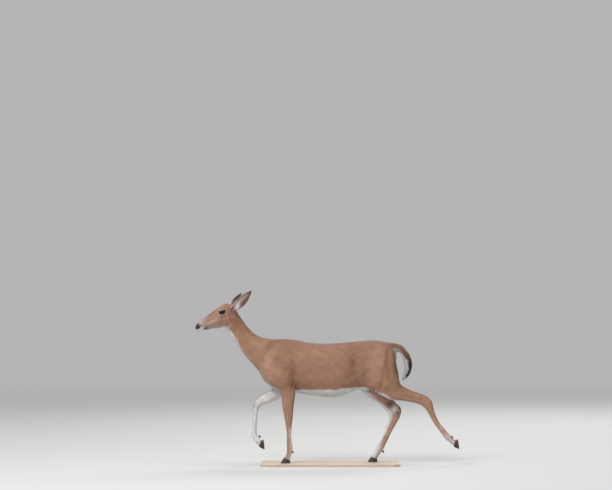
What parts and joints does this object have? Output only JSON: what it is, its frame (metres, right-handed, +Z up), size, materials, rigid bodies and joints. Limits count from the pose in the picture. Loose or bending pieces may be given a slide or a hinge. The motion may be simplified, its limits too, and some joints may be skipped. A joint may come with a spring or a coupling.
{
  "type": "white-tailed deer",
  "caption": "Adult white-tailed doe in short reddish summer coat, caught mid-stride with her head raised, as a life-size still model on a low plain rounded base.",
  "frame": {"origin": "centre of the underside of the base", "axes": "+Z up; the doe faces -X with her left side at -Y; X runs from nose to tail"},
  "size_m": [1.844, 0.4, 1.2232],
  "materials": {
    "coat": "short reddish summer coat, white below",
    "leg_coat": "short coat, tan outside and white inside",
    "ear_coat": "thin coat with pale hair inside and a dark rim",
    "tail_coat": "long hair, brown above turning dark, white below",
    "eye": "dark, wet and glossy",
    "nose": "black, moist and pebbled",
    "hoof_horn": "dark horn, satin",
    "base_wood": "pale plain wood, satin"
  },
  "bodies": {
    "root": {"trunk": "coat", "neck": "coat", "head": "coat", "ear_left": "ear_coat", "ear_right": "ear_coat", "tail": "tail_coat", "fore_left_upper": "leg_coat", "fore_left_cannon": "leg_coat", "fore_left_pastern": "leg_coat", "hoof_fore_left_left": "hoof_horn", "dewclaw_fore_left_left": "hoof_horn", "hoof_fore_left_right": "hoof_horn", "dewclaw_fore_left_right": "hoof_horn", "fore_right_upper": "leg_coat", "fore_right_cannon": "leg_coat", "fore_right_pastern": "leg_coat", "hoof_fore_right_left": "hoof_horn", "dewclaw_fore_right_left": "hoof_horn", "hoof_fore_right_right": "hoof_horn", "dewclaw_fore_right_right": "hoof_horn", "hind_left_upper": "leg_coat", "hind_left_cannon": "leg_coat", "hind_left_pastern": "leg_coat", "hoof_hind_left_left": "hoof_horn", "dewclaw_hind_left_left": "hoof_horn", "hoof_hind_left_right": "hoof_horn", "dewclaw_hind_left_right": "hoof_horn", "hind_right_upper": "leg_coat", "hind_right_cannon": "leg_coat", "hind_right_pastern": "leg_coat", "hoof_hind_right_left": "hoof_horn", "dewclaw_hind_right_left": "hoof_horn", "hoof_hind_right_right": "hoof_horn", "dewclaw_hind_right_right": "hoof_horn", "eye_left": "eye", "eye_right": "eye", "nose_pad": "nose", "stand_base": "base_wood"}
  },
  "joints": []
}
